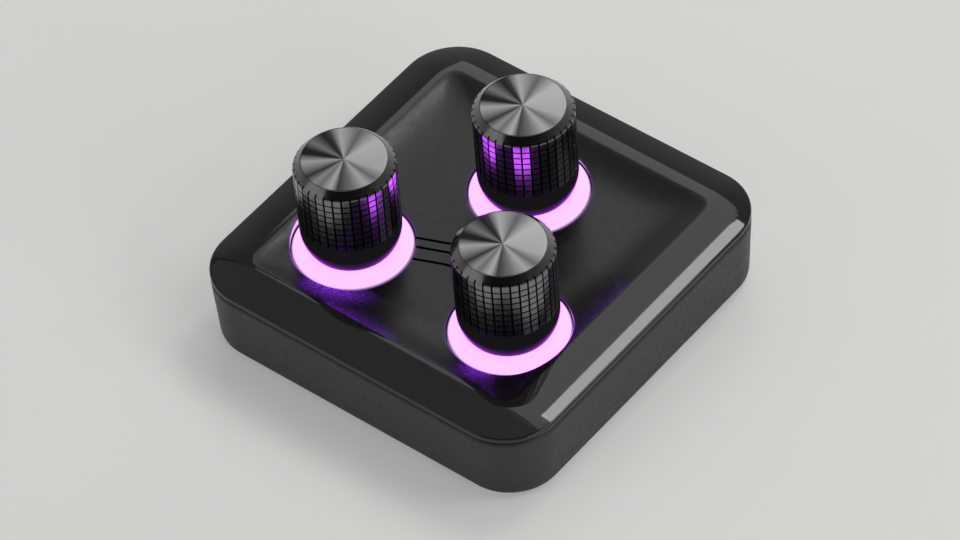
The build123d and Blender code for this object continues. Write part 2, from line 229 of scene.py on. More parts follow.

# Specular level of the dull finishes, and a painted sheen on the knobs' matt base: a faint even emission that
# lifts its black
specular_levels = {"knob_matt": 0.0, "knob_base": 0.006, "groove_black": 0.1}
painted_base_sheen = 0.0075
painted_base_sheen_color = (0.95, 0.92, 1, 1)

# Light in the rings: its colour, its strength along the ring's radius with a faint painted dark line just
# outside the knob's base, and the painted shade of the rounded edge
ring_color = (0.54, 0.0742, 1.0)
ring_light_strength = 8.0
ring_light_stops = ((0.0, 1.0), (0.69, 1.0), (0.7, 0.85), (0.71, 1.0), (0.953, 1.0))
painted_edge_shade_stops = ((0.97, (0.8, 0.5, 0.8)), (0.985, (0.4, 0.26, 0.4)), (0.997, (0.1, 0.07, 0.1)))
ring_tone = (0.12, 0.09, 0.12, 1)
ring_roughness = 0.4
ring_grain = 0.3
ring_grain_depth = 0.004

# The rings' light on the deck, painted into its emission: near each ring, and far along the slopes that face
# it
# Each slope has the way that it faces, the way to it from a ring, the near fall and the far sides
glow_color = (0.32, 0.0436, 1.0)
glow_near = 0.54
glow_width = 4.2
glow_near_sides = (0.62, 0.91)
glow_tilts = (0.02, 0.16)
glow_slopes = (
    ((0.5, 0.866, 0), (0.616, -0.788, 0), 2.0, (0.93, 0.975)),
    ((-0.6, -0.8, 0), (0.829, -0.559, 0), 7.0, (0.94, 0.978)),
)
glow_far = 0.17
glow_far_power = 3.0
glow_far_start = 15.0
glow_far_end = 38.0
glow_grain = 0.3
glow_specks = (0.0, 2.0)
glow_corner = (24.0, -19.2)
glow_corner_start = 4.5
glow_corner_end = 9.0
# A painted halo of light round each hole, and a painted line of light on each hole's bevel
halo_width = 0.6
halo_fall = 1.5
painted_halo_glow = 0.05
painted_edge_glow = 0.14
edge_share = 1.4

# The wall of each ring's hole, with painted light where the slope lifts it over the ring
wall_tone = (0.02, 0.018, 0.02, 1)
painted_wall_light_color = (0.85, 0.5, 0.9, 1)
painted_wall_light = 0.9
wall_lit_height = 0.04
wall_grain = 0.3
wall_roughness = (0.5, 0.7)

# The spun disc: its turned grain, and its painted reflection as wedges, given as angles in degrees from +X
# and tones
disc_grain = 0.05
disc_grain_depth = 0.0015
disc_grain_detail = 3
disc_roughness = (0.34, 0.44)
disc_anisotropy = 0.3
painted_wedge_tones = (
    (-180, 0.2), (-165, 0.02), (-155, 0.02), (-140, 0.41), (-110, 0.03), (-95, 0.27), (-85, 0.16),
    (-70, 0.43), (-60, 0.05), (-40, 0.18), (-20, 0.45), (-5, 0.17), (15, 0.46), (75, 0.48),
    (105, 0.13), (135, 0.45), (150, 0.05), (160, 0.02), (180, 0.2),
)

# Floor and room: the room is paler towards its walls than overhead
floor_half = 1500.0
floor_glow = 0.25
floor_glow_color = (1, 1, 1, 1)
horizon_light = 0.55
overhead_light = 0.015
overhead_start = 0.62

# Softboxes: lowest and highest X and Y of the directions in which the object sees them, and radiance
light_distance = 1500.0
softboxes = {
    "strip_light": ((-0.052, 0.45), (0.125, 0.65), 7.4),
    "wall_light": ((-0.95, 0.36), (0.1, 0.93), 0.17),
    "left_light": ((-0.7, -0.9), (-0.2, -0.6), 0.6),
    "side_light": ((-0.93, -0.3), (0.125, 0.36), 0.28),
    "right_light": ((0.86, -0.35), (0.97, 0.15), 3.0),
    "back_light": ((0.25, 0.15), (0.46, 0.72), 1.4),
    "far_light": ((0.46, 0.22), (0.66, 0.54), 4.0),
}

# The overhead softbox has a rounded corner, so it is made of pieces in one plane
overhead_radiance = 1.1
overhead_whole = ((-0.6345, 0.36), (-0.052, 0.743))
overhead_pieces = (
    ((-0.6345, 0.5), (-0.47, 0.743)),
    ((-0.47, 0.36), (-0.2, 0.743)),
    ((-0.2, 0.36), (-0.16, 0.728)),
    ((-0.16, 0.36), (-0.12, 0.705)),
    ((-0.12, 0.36), (-0.085, 0.67)),
    ((-0.085, 0.36), (-0.052, 0.62)),
    ((-0.052, 0.36), (0.125, 0.5)),
)

# Camera
camera_azimuth = math.radians(41.588)
camera_elevation = math.radians(47.031)
camera_roll = math.radians(-4.846)
camera_distance = 825.814
camera_lens = 211.485
frame_offset_x = 0.799
frame_offset_y = -3.7


# Outlines and meshes


def rectangle(half_x, half_y):
    """Corners of a rectangle round the origin."""
    return [(-half_x, -half_y), (half_x, -half_y), (half_x, half_y), (-half_x, half_y)]


def rounded(outline, closed):
    """An outline of (x, y, radius) corners as points, with each corner turned into an arc of its radius."""
    points = []
    count = len(outline)
    for i, (x, y, radius) in enumerate(outline):
        here = Vector((x, y))
        if radius == 0 or (not closed and i in (0, count - 1)):
            points.append((x, y))
            continue
        before = (Vector(outline[i - 1][:2]) - here).normalized()
        after = (Vector(outline[(i + 1) % count][:2]) - here).normalized()
        half_angle = before.angle(after) / 2
        middle = here + (before + after).normalized() * (radius / math.sin(half_angle))
        reach = radius / math.tan(half_angle)
        start = here + before * reach - middle
        sweep = start.angle_signed(here + after * reach - middle)
        for step in range(round_steps + 1):
            turned = start.copy()
            turned.rotate(Matrix.Rotation(-sweep * step / round_steps, 2))
            points.append(tuple(middle + turned))
    return points


def supported(points, closed):
    """The same points, with two more near the ends of each long straight run, which keep its shading flat."""
    result = []
    count = len(points)
    for i, point in enumerate(points):
        result.append(point)
        if i == count - 1 and not closed:
            break
        here = Vector(point)
        along = Vector(points[(i + 1) % count]) - here
        if along.length > long_run:
            step = along.normalized() * support
            result.append(tuple(here + step))
            result.append(tuple(here + along - step))
    return result


def square_loop(half, z):
    """One level of the case: a square with rounded corners, and two points near the ends of each side."""
    radius = max(case_corner - case_half + half, support)
    middle = half - radius
    loop = []
    for quarter in range(4):
        across = middle if quarter in (0, 3) else -middle
        along = middle if quarter in (0, 1) else -middle
        for step in range(corner_steps + 1):
            turn = math.radians(90 * (quarter + step / corner_steps))
            loop.append((across + radius * math.cos(turn), along + radius * math.sin(turn), z))
        ahead = Vector((-math.sin(turn), math.cos(turn), 0))
        end = Vector(loop[-1])
        loop.append(tuple(end + ahead * support))
        loop.append(tuple(end + ahead * (2 * middle - support)))
    return loop


def circle_loop(radius, z):
    """One level of a turned form."""
    turns = [math.tau * i / turn_steps for i in range(turn_steps)]
    return [(radius * math.cos(turn), radius * math.sin(turn), z) for turn in turns]


def bridge(loops, closed):
    """Points and quads that join loops of the same count. An open form gets a face at each end."""
    count = len(loops[0])
    points = [point for loop in loops for point in loop]
    faces = []
    for row in range(len(loops) if closed else len(loops) - 1):
        low = row * count
        high = (row + 1) % len(loops) * count
        for i in range(count):
            j = (i + 1) % count
            faces.append((low + i, low + j, high + j, high + i))
    if not closed:
        faces.append(tuple(reversed(range(count))))
        faces.append(tuple(range(len(points) - count, len(points))))
    return points, faces


def make_object(name, points, faces, place=(0, 0)):
    """A mesh object whose origin lies at a place on the table, with its faces turned outwards."""
    mesh = bpy.data.meshes.new(name)
    mesh.from_pydata([tuple(c * MM for c in point) for point in points], [], faces)
    shape = bmesh.new()
    shape.from_mesh(mesh)
    bmesh.ops.recalc_face_normals(shape, faces=shape.faces)
    shape.to_mesh(mesh)
    shape.free()
    obj = bpy.data.objects.new(name, mesh)
    obj.location = (place[0] * MM, place[1] * MM, 0)
    bpy.context.scene.collection.objects.link(obj)
    return obj


def cut(obj, cutter):
    """Take one closed mesh out of another, and drop the cutter."""
    tool = obj.modifiers.new("cut", "BOOLEAN")
    tool.operation = "DIFFERENCE"
    tool.solver = "EXACT"
    tool.object = cutter
    whole = obj.evaluated_get(bpy.context.evaluated_depsgraph_get())
    result = bpy.data.meshes.new_from_object(whole)
    obj.modifiers.clear()
    obj.data = result
    bpy.data.objects.remove(cutter)


def add_look(obj, material):
    """Give a piece one more material, and say its number on that piece."""
    obj.data.materials.append(material)
    return len(obj.data.materials) - 1


def place_piece(obj, body, slot, node, angle=sharp_angle):
    """Smooth and dress a piece, and let it stand for its CAD node on that node's body."""
    for face in obj.data.polygons:
        face.use_smooth = True
    obj.data.set_sharp_from_angle(angle=angle)
    add_look(obj, materials[slot])
    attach(obj, body)
    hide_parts(node)


# Materials


def shader(material):
    """The main shader of a material."""
    return material.node_tree.nodes["Principled BSDF"]


def new_material(name):
    """A node material, with its tree and its main shader."""
    material = bpy.data.materials.new(name)
    material.use_nodes = True
    return material, material.node_tree, shader(material)


def noise(tree, size, detail):
    """A noise whose features are about the given size, in millimetres, on the object's own coordinates."""
    place = tree.nodes.new("ShaderNodeTexCoord")
    texture = tree.nodes.new("ShaderNodeTexNoise")
    texture.inputs["Scale"].default_value = 1 / (size * MM)
    texture.inputs["Detail"].default_value = detail
    tree.links.new(place.outputs["Object"], texture.inputs["Vector"])
    return texture.outputs["Fac"]


def remap(tree, source, start, end, low, high, kind="LINEAR"):
    """Map a value from one range to another."""
    node = tree.nodes.new("ShaderNodeMapRange")
    node.interpolation_type = kind
    node.inputs["From Min"].default_value = start
    node.inputs["From Max"].default_value = end
    node.inputs["To Min"].default_value = low
    node.inputs["To Max"].default_value = high
    tree.links.new(source, node.inputs["Value"])
    return node.outputs["Result"]


def spread(tree, source, low, high):
    """Map a noise to a range."""
    return remap(tree, source, noise_low, noise_high, low, high)


def join(tree, operation, first, second):
    """One operation on two values. The second may be a plain number."""
    node = tree.nodes.new("ShaderNodeMath")
    node.operation = operation
    tree.links.new(first, node.inputs[0])
    if isinstance(second, float):
        node.inputs[1].default_value = second
    else:
        tree.links.new(second, node.inputs[1])
    return node.outputs["Value"]


def times(tree, first, second):
    """The product of two values. The second may be a plain number."""
    return join(tree, "MULTIPLY", first, second)


def dot(tree, source, direction):
    """How far a vector points along a direction."""
    node = tree.nodes.new("ShaderNodeVectorMath")
    node.operation = "DOT_PRODUCT"
    node.inputs[1].default_value = direction
    tree.links.new(source, node.inputs[0])
    return node.outputs["Value"]


def ramp(tree, source, stops):
    """Colours along a value, as (position, colour) stops in order."""
    node = tree.nodes.new("ShaderNodeValToRGB")
    elements = node.color_ramp.elements
    for element, (position, color) in zip((elements[0], elements[1]), (stops[0], stops[-1])):
        element.position = position
        element.color = (*color, 1)
    for position, color in stops[1:-1]:
        elements.new(position).color = (*color, 1)
    tree.links.new(source, node.inputs["Fac"])
    return node.outputs["Color"]


def bump(tree, bsdf, source, depth):
    """Raise the surface by a noise, with the depth in millimetres."""
    node = tree.nodes.new("ShaderNodeBump")
    node.inputs["Strength"].default_value = 1
    node.inputs["Distance"].default_value = depth * MM
    tree.links.new(source, node.inputs["Height"])
    tree.links.new(node.outputs["Normal"], bsdf.inputs["Normal"])


def own_place(tree):
    """The object's own coordinates, whole and as X, Y and Z."""
    place = tree.nodes.new("ShaderNodeTexCoord").outputs["Object"]
    apart = tree.nodes.new("ShaderNodeSeparateXYZ")
    tree.links.new(place, apart.inputs["Vector"])
    return place, apart.outputs


def reach_from(tree, centre):
    """Distance from an upright axis, on the object's own coordinates."""
    place, _ = own_place(tree)
    flat = tree.nodes.new("ShaderNodeVectorMath")
    flat.operation = "MULTIPLY"
    flat.inputs[1].default_value = (1, 1, 0)
    tree.links.new(place, flat.inputs[0])
    away = tree.nodes.new("ShaderNodeVectorMath")
    away.operation = "DISTANCE"
    away.inputs[1].default_value = (centre[0] * MM, centre[1] * MM, 0)
    tree.links.new(flat.outputs["Vector"], away.inputs[0])
    return away.outputs["Value"]


def grained(name, tone, vary, roughness, grain, depth, metallic):
    """A moulded or plated finish: a tone with cloudy variation, uneven gloss and a fine grain."""
    material, tree, bsdf = new_material(name)
    dark = [c * (1 - vary) for c in tone]
    light = [c * (1 + vary) for c in tone]
    clouds = noise(tree, cloud_size * grain, cloud_detail)
    colors = ramp(tree, clouds, [(noise_low, dark), (noise_high, light)])
    tree.links.new(colors, bsdf.inputs["Base Color"])
    patches = noise(tree, patch_size * grain, grain_detail)
    gloss = spread(tree, patches, roughness * (1 - gloss_vary), roughness * (1 + gloss_vary))
    tree.links.new(gloss, bsdf.inputs["Roughness"])
    bump(tree, bsdf, noise(tree, grain, grain_detail), depth)
    bsdf.inputs["Metallic"].default_value = metallic
    return material


def ring_material():
    """Frosted diffuser, lit from below: even light, a faint painted dark line, and painted shade on its
    rounded edge.
    """
    material, tree, bsdf = new_material("ring_diffuser")
    bsdf.inputs["Base Color"].default_value = ring_tone
    bsdf.inputs["Roughness"].default_value = ring_roughness
    share = remap(tree, reach_from(tree, (0, 0)), 0, ring_radius * MM, 0, 1)
    stops = [(position, [c * strength for c in ring_color]) for position, strength in ring_light_stops]
    # Painted shade: the light dims to grey towards the rounded edge
    stops += [(position, [c / ring_light_strength for c in color]) for position, color in painted_edge_shade_stops]
    tree.links.new(ramp(tree, share, stops), bsdf.inputs["Emission Color"])
    bsdf.inputs["Emission Strength"].default_value = ring_light_strength
    bump(tree, bsdf, noise(tree, ring_grain, grain_detail), ring_grain_depth)
    return material


def paint_ring_light(material):
    """The rings' light painted onto the dished panel as emission: a line at each hole's edge, a halo, and a
    glow on the slopes.
    """
    tree = material.node_tree
    bsdf = shader(material)
    place, apart = own_place(tree)
    normal = tree.nodes.new("ShaderNodeNewGeometry").outputs["Normal"]
    climb = remap(tree, apart["Z"], dish_z * MM, crest_z * MM, 0, 1)
    steep = join(tree, "POWER", climb, glow_far_power)
    reach = None
    glow = None
    for centre in knob_places.values():
        away = reach_from(tree, centre)
        reach = away if reach is None else join(tree, "MINIMUM", reach, away)
        fall = remap(tree, away, hole_radius * MM, (hole_radius + glow_width) * MM, 1, 0)
        far_fall = remap(tree, away, glow_far_start * MM, glow_far_end * MM, glow_far, 0)
        fade = times(tree, steep, far_fall)
        offset = tree.nodes.new("ShaderNodeVectorMath")
        offset.operation = "SUBTRACT"
        offset.inputs[1].default_value = (centre[0] * MM, centre[1] * MM, 0)
        tree.links.new(place, offset.inputs[0])
        for slope_facing, ahead, near_power, far_sides in glow_slopes:
            side = join(tree, "DIVIDE", dot(tree, offset.outputs["Vector"], ahead), away)
            near_side = remap(tree, side, *glow_near_sides, 0, glow_near, "SMOOTHSTEP")
            near = times(tree, join(tree, "POWER", fall, near_power), near_side)
            far = times(tree, fade, remap(tree, side, *far_sides, 0, 1, "SMOOTHSTEP"))
            slope = remap(tree, dot(tree, normal, slope_facing), *glow_tilts, 0, 1)
            one = times(tree, join(tree, "ADD", near, far), slope)
            glow = one if glow is None else join(tree, "MAXIMUM", glow, one)
    corner = reach_from(tree, glow_corner)
    glow = times(tree, glow, remap(tree, corner, glow_corner_start * MM, glow_corner_end * MM, 0, 1))
    halo = remap(tree, reach, hole_radius * MM, (hole_radius + halo_width) * MM, 1, 0)
    halo = times(tree, join(tree, "POWER", halo, halo_fall), painted_halo_glow)
    specks = spread(tree, noise(tree, glow_grain, grain_detail), *glow_specks)
    glow = times(tree, join(tree, "ADD", glow, halo), specks)
    edge_start = hole_radius + hole_bevel
    edge_end = hole_radius + edge_share * hole_bevel
    edge = remap(tree, reach, edge_start * MM, edge_end * MM, painted_edge_glow, 0)
    bsdf.inputs["Emission Color"].default_value = (*glow_color, 1)
    tree.links.new(join(tree, "ADD", glow, edge), bsdf.inputs["Emission Strength"])


def wall_material():
    """The hole's wall round each ring: dark in the gap, with painted light where the slope lifts it over the
    ring.
    """
    material, tree, bsdf = new_material("ring_wall")
    bsdf.inputs["Base Color"].default_value = wall_tone
    _, apart = own_place(tree)
    lit_start = dish_z - hole_bevel / 2
    lit_end = dish_z + wall_lit_height
    lit = remap(tree, apart["Z"], lit_start * MM, lit_end * MM, 0, painted_wall_light)
    bsdf.inputs["Emission Color"].default_value = painted_wall_light_color
    tree.links.new(lit, bsdf.inputs["Emission Strength"])
    gloss = spread(tree, noise(tree, wall_grain, grain_detail), *wall_roughness)
    tree.links.new(gloss, bsdf.inputs["Roughness"])
    return material


def disc_material():
    """Spun aluminium: a fine turned grain, and a painted reflection: the fan of light and dark wedges that
    such a face shows.
    """
    material, tree, bsdf = new_material("disc_aluminium")
    _, apart = own_place(tree)
    turn = join(tree, "ARCTAN2", apart["Y"], apart["X"])
    share = remap(tree, turn, -math.pi, math.pi, 0, 1)
    stops = [(angle / 360 + 0.5, [tone] * 3) for angle, tone in painted_wedge_tones]
    tree.links.new(ramp(tree, share, stops), bsdf.inputs["Base Color"])
    grain = tree.nodes.new("ShaderNodeTexNoise")
    grain.noise_dimensions = "1D"
    grain.inputs["Scale"].default_value = 1 / (disc_grain * MM)
    grain.inputs["Detail"].default_value = disc_grain_detail
    tree.links.new(reach_from(tree, (0, 0)), grain.inputs["W"])
    tree.links.new(spread(tree, grain.outputs["Fac"], *disc_roughness), bsdf.inputs["Roughness"])
    bump(tree, bsdf, grain.outputs["Fac"], disc_grain_depth)
    bsdf.inputs["Metallic"].default_value = 1
    bsdf.inputs["Anisotropic"].default_value = disc_anisotropy
    tangent = tree.nodes.new("ShaderNodeTangent")
    tangent.direction_type = "RADIAL"
    tangent.axis = "Z"
    tree.links.new(tangent.outputs["Tangent"], bsdf.inputs["Tangent"])
    return material


materials = {name: grained(name, *finish) for name, finish in finishes.items()}
materials["ring_diffuser"] = ring_material()
materials["ring_wall"] = wall_material()
materials["disc_aluminium"] = disc_material()
# The rings' light is painted into the deck's emission
paint_ring_light(materials["deck_matt"])
for name, specular in specular_levels.items():
    shader(materials[name]).inputs["Specular IOR Level"].default_value = specular
# Painted sheen: a faint even emission on the knobs' matt base
base_shader = shader(materials["knob_base"])
base_shader.inputs["Emission Strength"].default_value = painted_base_sheen
base_shader.inputs["Emission Color"].default_value = painted_base_sheen_color
for subpart in frame["record"]["subparts"]:
    node = frame["nodes"][subpart["node"]]
    node.data.materials.clear()
    node.data.materials.append(materials[subpart["material_slot"]])


# Pieces


def port_cutter():
    """The slot in the rear wall, a little larger than the socket."""
    half_width = socket_high.x + port_clearance
    half_height = (socket_high.z - socket_low.z) / 2 + port_clearance
    middle_z = (socket_high.z + socket_low.z) / 2
    corners = rectangle(half_width, half_height)
    outline = rounded([(x, z, half_height - support) for x, z in corners], True)
    inside_y = case_half - 2 * case_wall - case_lean
    outside_y = case_half + case_wall
    loops = [[(x, y, z + middle_z) for x, z in outline] for y in (inside_y, outside_y)]
    return make_object("port", *bridge(loops, False))


def lower_case():
    """Tray with leaning sides, rounded edges, the port's slot in the rear wall, and pockets for the feet."""
    bottom_half = case_half - case_lean
    inner_half = bottom_half - case_wall
    outline = [
        (bottom_half - case_cap_inset, case_bottom_z, 0),
        (bottom_half, case_bottom_z, case_bottom_round),
        (case_half, case_top_z, case_top_round),
        (case_half - case_wall, case_top_z, skirt_low_round),
        (inner_half, case_bottom_z + case_floor, case_inner_round),
        (inner_half - case_cap_inset, case_bottom_z + case_floor, 0),
    ]
    loops = [square_loop(half, z) for half, z in supported(rounded(outline, False), False)]
    tray = make_object("lower_case_shell", *bridge(loops, False))
    cut(tray, port_cutter())
    for x in (foot_low.x + foot_radius, foot_high.x - foot_radius):
        for y in (foot_low.y + foot_radius, foot_high.y - foot_radius):
            pocket = [circle_loop(foot_radius, z) for z in (0, case_bottom_z + foot_pocket)]
            cut(tray, make_object("pocket", *bridge(pocket, False), (x, y)))
    place_piece(tray, "housing", "case_plastic", "lower_case")


def cover():
    """Glossy rim: a low skirt, a pillowed top, a crest round the deck, and the ledge and tongue under it."""
    chord = Vector((crest_half - case_half, crest_z - shoulder_z))
    bow = (chord.length**2 / 4 + rim_bulge**2) / (2 * rim_bulge)
    pillow = []
    for step in range(1, pillow_steps):
        along = chord.length * (step / pillow_steps - 0.5)
        lift = math.sqrt(bow**2 - along**2) - bow + rim_bulge
        across = Vector((-chord.y, chord.x)).normalized() * -lift
        spot = Vector((case_half, shoulder_z)) + chord * (step / pillow_steps) + across
        pillow.append((spot.x, spot.y, 0))
    web_half = crest_half + cover_wall
    ledge_half = crest_half - ledge_width
    tongue_half = case_half - tongue_gap
    outline = [
        (case_half, skirt_z, skirt_low_round),
        (case_half, shoulder_z, skirt_round),
        *pillow,
        (crest_half, crest_z, crest_round),
        (crest_half, ledge_z, 0),
        (ledge_half, ledge_z, 0),
        (ledge_half, ledge_z - ledge_thickness, 0),
        (web_half, ledge_z - ledge_thickness, 0),
        (web_half, skirt_z, 0),
        (tongue_half - tongue_thickness, skirt_z, 0),
        (tongue_half - tongue_thickness, skirt_z - tongue_depth, 0),
        (tongue_half, skirt_z - tongue_depth, 0),
        (tongue_half, skirt_z, 0),
    ]
    loops = [square_loop(half, z) for half, z in supported(rounded(outline, True), True)]
    rim = make_object("cover_rim", *bridge(loops, True))
    place_piece(rim, "housing", "cover_gloss", "cover")


def dish_height(x, y):
    """Height of the dished deck: a flat floor, and a cove that curves up to the brim."""

    def holds(out):
        """Whether the dish's outline, so far out from its floor, goes round the place."""
        half = dish_floor_half + out
        corner = dish_floor_corner + out / cove_width * (deck_corner - deck_brim - dish_floor_corner)
        past_x = max(abs(x) - half + corner, 0)
        past_y = max(abs(y) - half + corner, 0)
        return math.hypot(past_x, past_y) <= corner

    if holds(0):
        return dish_z
    if not holds(cove_width):
        return crest_z
    low, high = 0, cove_width
    for _ in range(cove_tries):
        middle = (low + high) / 2
        low, high = (low, middle) if holds(middle) else (middle, high)
    return dish_z + cove_radius - math.sqrt(cove_radius**2 - high**2)


def line_height(x, rise):
    """Where one fine line lies on the deck: a chevron with its bend rounded."""
    front_y = knob_places["left"][1]
    slope = math.tan(math.radians(line_angle))
    if abs(x) > line_bend:
        return front_y + rise - slope * abs(x)
    return front_y + rise - slope * (x * x / line_bend + line_bend) / 2


def nearest_line(x, y):
    """Distance along Y from a place on the deck to the nearest fine line."""
    return min(abs(y - line_height(x, rise)) for rise in line_rises)


def nearest_axis(x, y):
    """Distance from a place on the deck to the nearest knob's axis."""
    return min(math.dist((x, y), place) for place in knob_places.values())


def deck_plan():
    """Points and edges of the deck from above: its brim, the holes, the fine lines and a grid."""
    points = []
    edges = []

    def add_loop(loop):
        """Join points into a closed run of edges."""
        first = len(points)
        points.extend(loop)
        edges.extend((first + i, first + (i + 1) % len(loop)) for i in range(len(loop)))

    for half in (panel_half, dish_top_half):
        corners = [Vector((x, y)) for x, y, z in square_loop(half, 0)]
        loop = []
        for i, start in enumerate(corners):
            along = corners[(i + 1) % len(corners)] - start
            count = max(round(along.length / deck_grid), 1)
            loop += [tuple(start + along * step / count) for step in range(count)]
        add_loop(loop)
    for place_x, place_y in knob_places.values():
        for radius in (hole_radius, hole_radius + hole_bevel):
            add_loop([(place_x + x, place_y + y) for x, y, z in circle_loop(radius, 0)])
    steps = round(2 * line_reach / deck_grid)
    spots = [line_reach * (2 * i / steps - 1) for i in range(steps + 1)]
    for rise in line_rises:
        for half in (line_width / 2, line_width / 2 - line_wall):
            upper = [(x, line_height(x, rise) + half) for x in spots]
            lower = [(x, line_height(x, rise) - half) for x in reversed(spots)]
            add_loop(upper + lower)
    count = round(2 * deck_half / deck_grid)
    for i in range(1, count):
        for j in range(1, count):
            x = deck_half * (2 * i / count - 1)
            y = deck_half * (2 * j / count - 1)
            near_hole = abs(nearest_axis(x, y) - hole_radius) < deck_grid
            near_line = abs(x) < line_reach + deck_grid and nearest_line(x, y) < deck_grid / 2
            near_edge = max(abs(x), abs(y)) > dish_top_half - deck_grid / 2
            if not (near_hole or near_line or near_edge):
                points.append((x, y))
    return [Vector(point) for point in points], edges


def deck_top(x, y):
    """Height of the deck's top, with the bevel of its holes and the fine lines let in."""
    z = dish_height(x, y)
    if nearest_axis(x, y) < hole_radius + hole_bevel / 2:
        z -= hole_bevel
    if abs(x) < line_reach and nearest_line(x, y) < line_width / 2 - line_wall / 2:
        z -= line_depth
    return z


def deck():
    """Matt panel, dished, with three holes for the rings and three fine grooves between the front rings."""
    points, edges = deck_plan()
    flat, _, triangles, *_ = delaunay_2d_cdt(points, edges, [], 0, support * MM)
    hole_inside = hole_radius * math.cos(math.pi / turn_steps)
    kept = []
    for triangle in triangles:
        middle = sum((flat[i] for i in triangle), Vector((0, 0))) / 3
        if nearest_axis(*middle) > hole_inside:
            kept.append(tuple(triangle))
    size = len(flat)
    body = [(x, y, deck_top(x, y)) for x, y in flat] + [(x, y, ledge_z) for x, y in flat]
    faces = kept + [tuple(size + i for i in reversed(triangle)) for triangle in kept]
    sides = {}
    for a, b, c in kept:
        for start, end in ((a, b), (b, c), (c, a)):
            if sides.pop((end, start), None) is None:
                sides[(start, end)] = True
    faces += [(end, start, size + start, size + end) for start, end in sides]
    panel = make_object("deck_panel", body, faces)
    shape = bmesh.new()
    shape.from_mesh(panel.data)
    bmesh.ops.delete(shape, geom=[v for v in shape.verts if not v.link_faces], context="VERTS")
    shape.to_mesh(panel.data)
    shape.free()
    place_piece(panel, "housing", "deck_matt", "deck")
    groove_look = add_look(panel, materials["groove_black"])
    wall_look = add_look(panel, materials["ring_wall"])
    for face in panel.data.polygons:
        x, y, z = face.center / MM
        if nearest_axis(x, y) < hole_radius + hole_bevel / 4:
            face.material_index = wall_look
        elif z < dish_height(x, y) - line_depth / 4 and max(abs(x), abs(y)) < dish_floor_half:
            face.material_index = groove_look


def light_ring(name, place):
    """Frosted washer with a rounded edge, on a skirt that stands on the lamp board."""
    washer_z = dish_z - ring_thickness
    outline = [
        (ring_radius, ring_low_z, 0),
        (ring_radius, dish_z, ring_round),
        (ring_bore, dish_z, ring_inner_round),
        (ring_bore, washer_z, 0),
        (ring_radius - ring_skirt, washer_z, 0),
        (ring_radius - ring_skirt, ring_low_z, 0),
    ]
    loops = [circle_loop(radius, z) for radius, z in supported(rounded(outline, True), True)]
    ring = make_object(f"ring_{name}", *bridge(loops, True), place)
    place_piece(ring, "housing", "ring_diffuser", f"light_ring_{name}")


def knob_loop(z, radius, groove_radius, flat_pads):
    """One level of a knob: a pad and a groove, repeated. Flat pads are chords, and other levels are round."""
    pitch = math.tau / flute_count
    groove = flute_width / knob_radius
    wall = flute_slope / knob_radius
    pad = pitch - groove
    loop = []
    for flute in range(flute_count):
        middle = pitch * flute
        for step in range(pad_points):
            turn = (step / (pad_points - 1) - 0.5) * pad
            reach = radius * math.cos(pad / 2) / math.cos(turn) if flat_pads else radius
            loop.append((reach * math.cos(middle + turn), reach * math.sin(middle + turn), z))
        for turn in (pad / 2 + wall, pitch - pad / 2 - wall):
            side = middle + turn
            loop.append((groove_radius * math.cos(side), groove_radius * math.sin(side), z))
    return loop


def knob_shell(name, place):
    """Turned shell: rounded in at the base, a grip of fine pads, a chamfer, and a seat for the disc."""
    base_radius = knob_radius - knob_base_inset
    base_bow = (knob_base_inset**2 + knob_base_height**2) / (2 * knob_base_inset)
    root = knob_radius - flute_depth
    seat_radius = knob_radius - knob_chamfer_width
    foot_z = knob_z + knob_base_lift
    loops = []
    pad_levels = []

    def level(z, radius):
        """Add a round level."""
        loops.append(knob_loop(z, radius, radius, False))

    def grip_level(z, radius):
        """Add a level with the upright grooves in it."""
        loops.append(knob_loop(z, radius, root, True))

    level(disc_z - knob_top_wall, knob_bore)
    level(foot_z, knob_bore)
    for step in range(round_steps + 1):
        turn = math.radians(90 * step / round_steps)
        lift = knob_base_round * (1 - math.cos(turn))
        level(foot_z + lift, base_radius - knob_base_round * (1 - math.sin(turn)))
    for step in range(1, pillow_steps + 1):
        height = knob_base_height * step / pillow_steps
        if height > knob_base_lift + knob_base_round:
            drop = base_bow - math.sqrt(base_bow**2 - (knob_base_height - height) ** 2)
            level(knob_z + height, knob_radius - drop)
    level(grip_z - flute_tail, knob_radius)
    pitch = grip_height / pad_rows
    for row in range(pad_rows):
        low = grip_z + row * pitch
        start = low if row == 0 else low + row_gap / 2
        end = low + pitch - (grip_bevel if row == pad_rows - 1 else row_gap / 2)
        if row > 0:
            grip_level(start - row_slope, knob_radius - row_depth)
        pad_levels.append(len(loops))
        grip_level(start, knob_radius)
        grip_level(end, knob_radius)
        if row < pad_rows - 1:
            grip_level(end + row_slope, knob_radius - row_depth)
    slope = knob_chamfer_height / knob_chamfer_width
    groove_end = len(loops)
    grip_level(grip_top_z + grip_bevel * slope, knob_radius - grip_bevel)
    level(grip_top_z + flute_depth * slope, root)
    for step in range(round_steps + 1):
        turn = math.radians(90 * step / round_steps)
        lip_z = knob_top_z - knob_lip_round * (1 - math.sin(turn))
        level(lip_z, seat_radius + knob_lip_round * math.cos(turn))
    level(disc_z, seat_radius)
    shell = make_object(f"shell_{name}", *bridge(loops, False), place)
    place_piece(shell, f"knob_{name}", "knob_anodised", f"knob_shell_{name}", knob_sharp_angle)
    pad_look = add_look(shell, materials["pad_polish"])
    groove_look = add_look(shell, materials["knob_matt"])
    base_look = add_look(shell, materials["knob_base"])
    flute_points = len(loops[0]) // flute_count
    for face in shell.data.polygons:
        row, spot = divmod(face.index, len(loops[0]))
        on_pad = spot % flute_points < pad_points - 1
        if row in pad_levels and on_pad:
            face.material_index = pad_look
        elif face.center.z < grip_z * MM:
            face.material_index = base_look
        elif row < groove_end - 1 or (row <= groove_end and not on_pad):
            face.material_index = groove_look


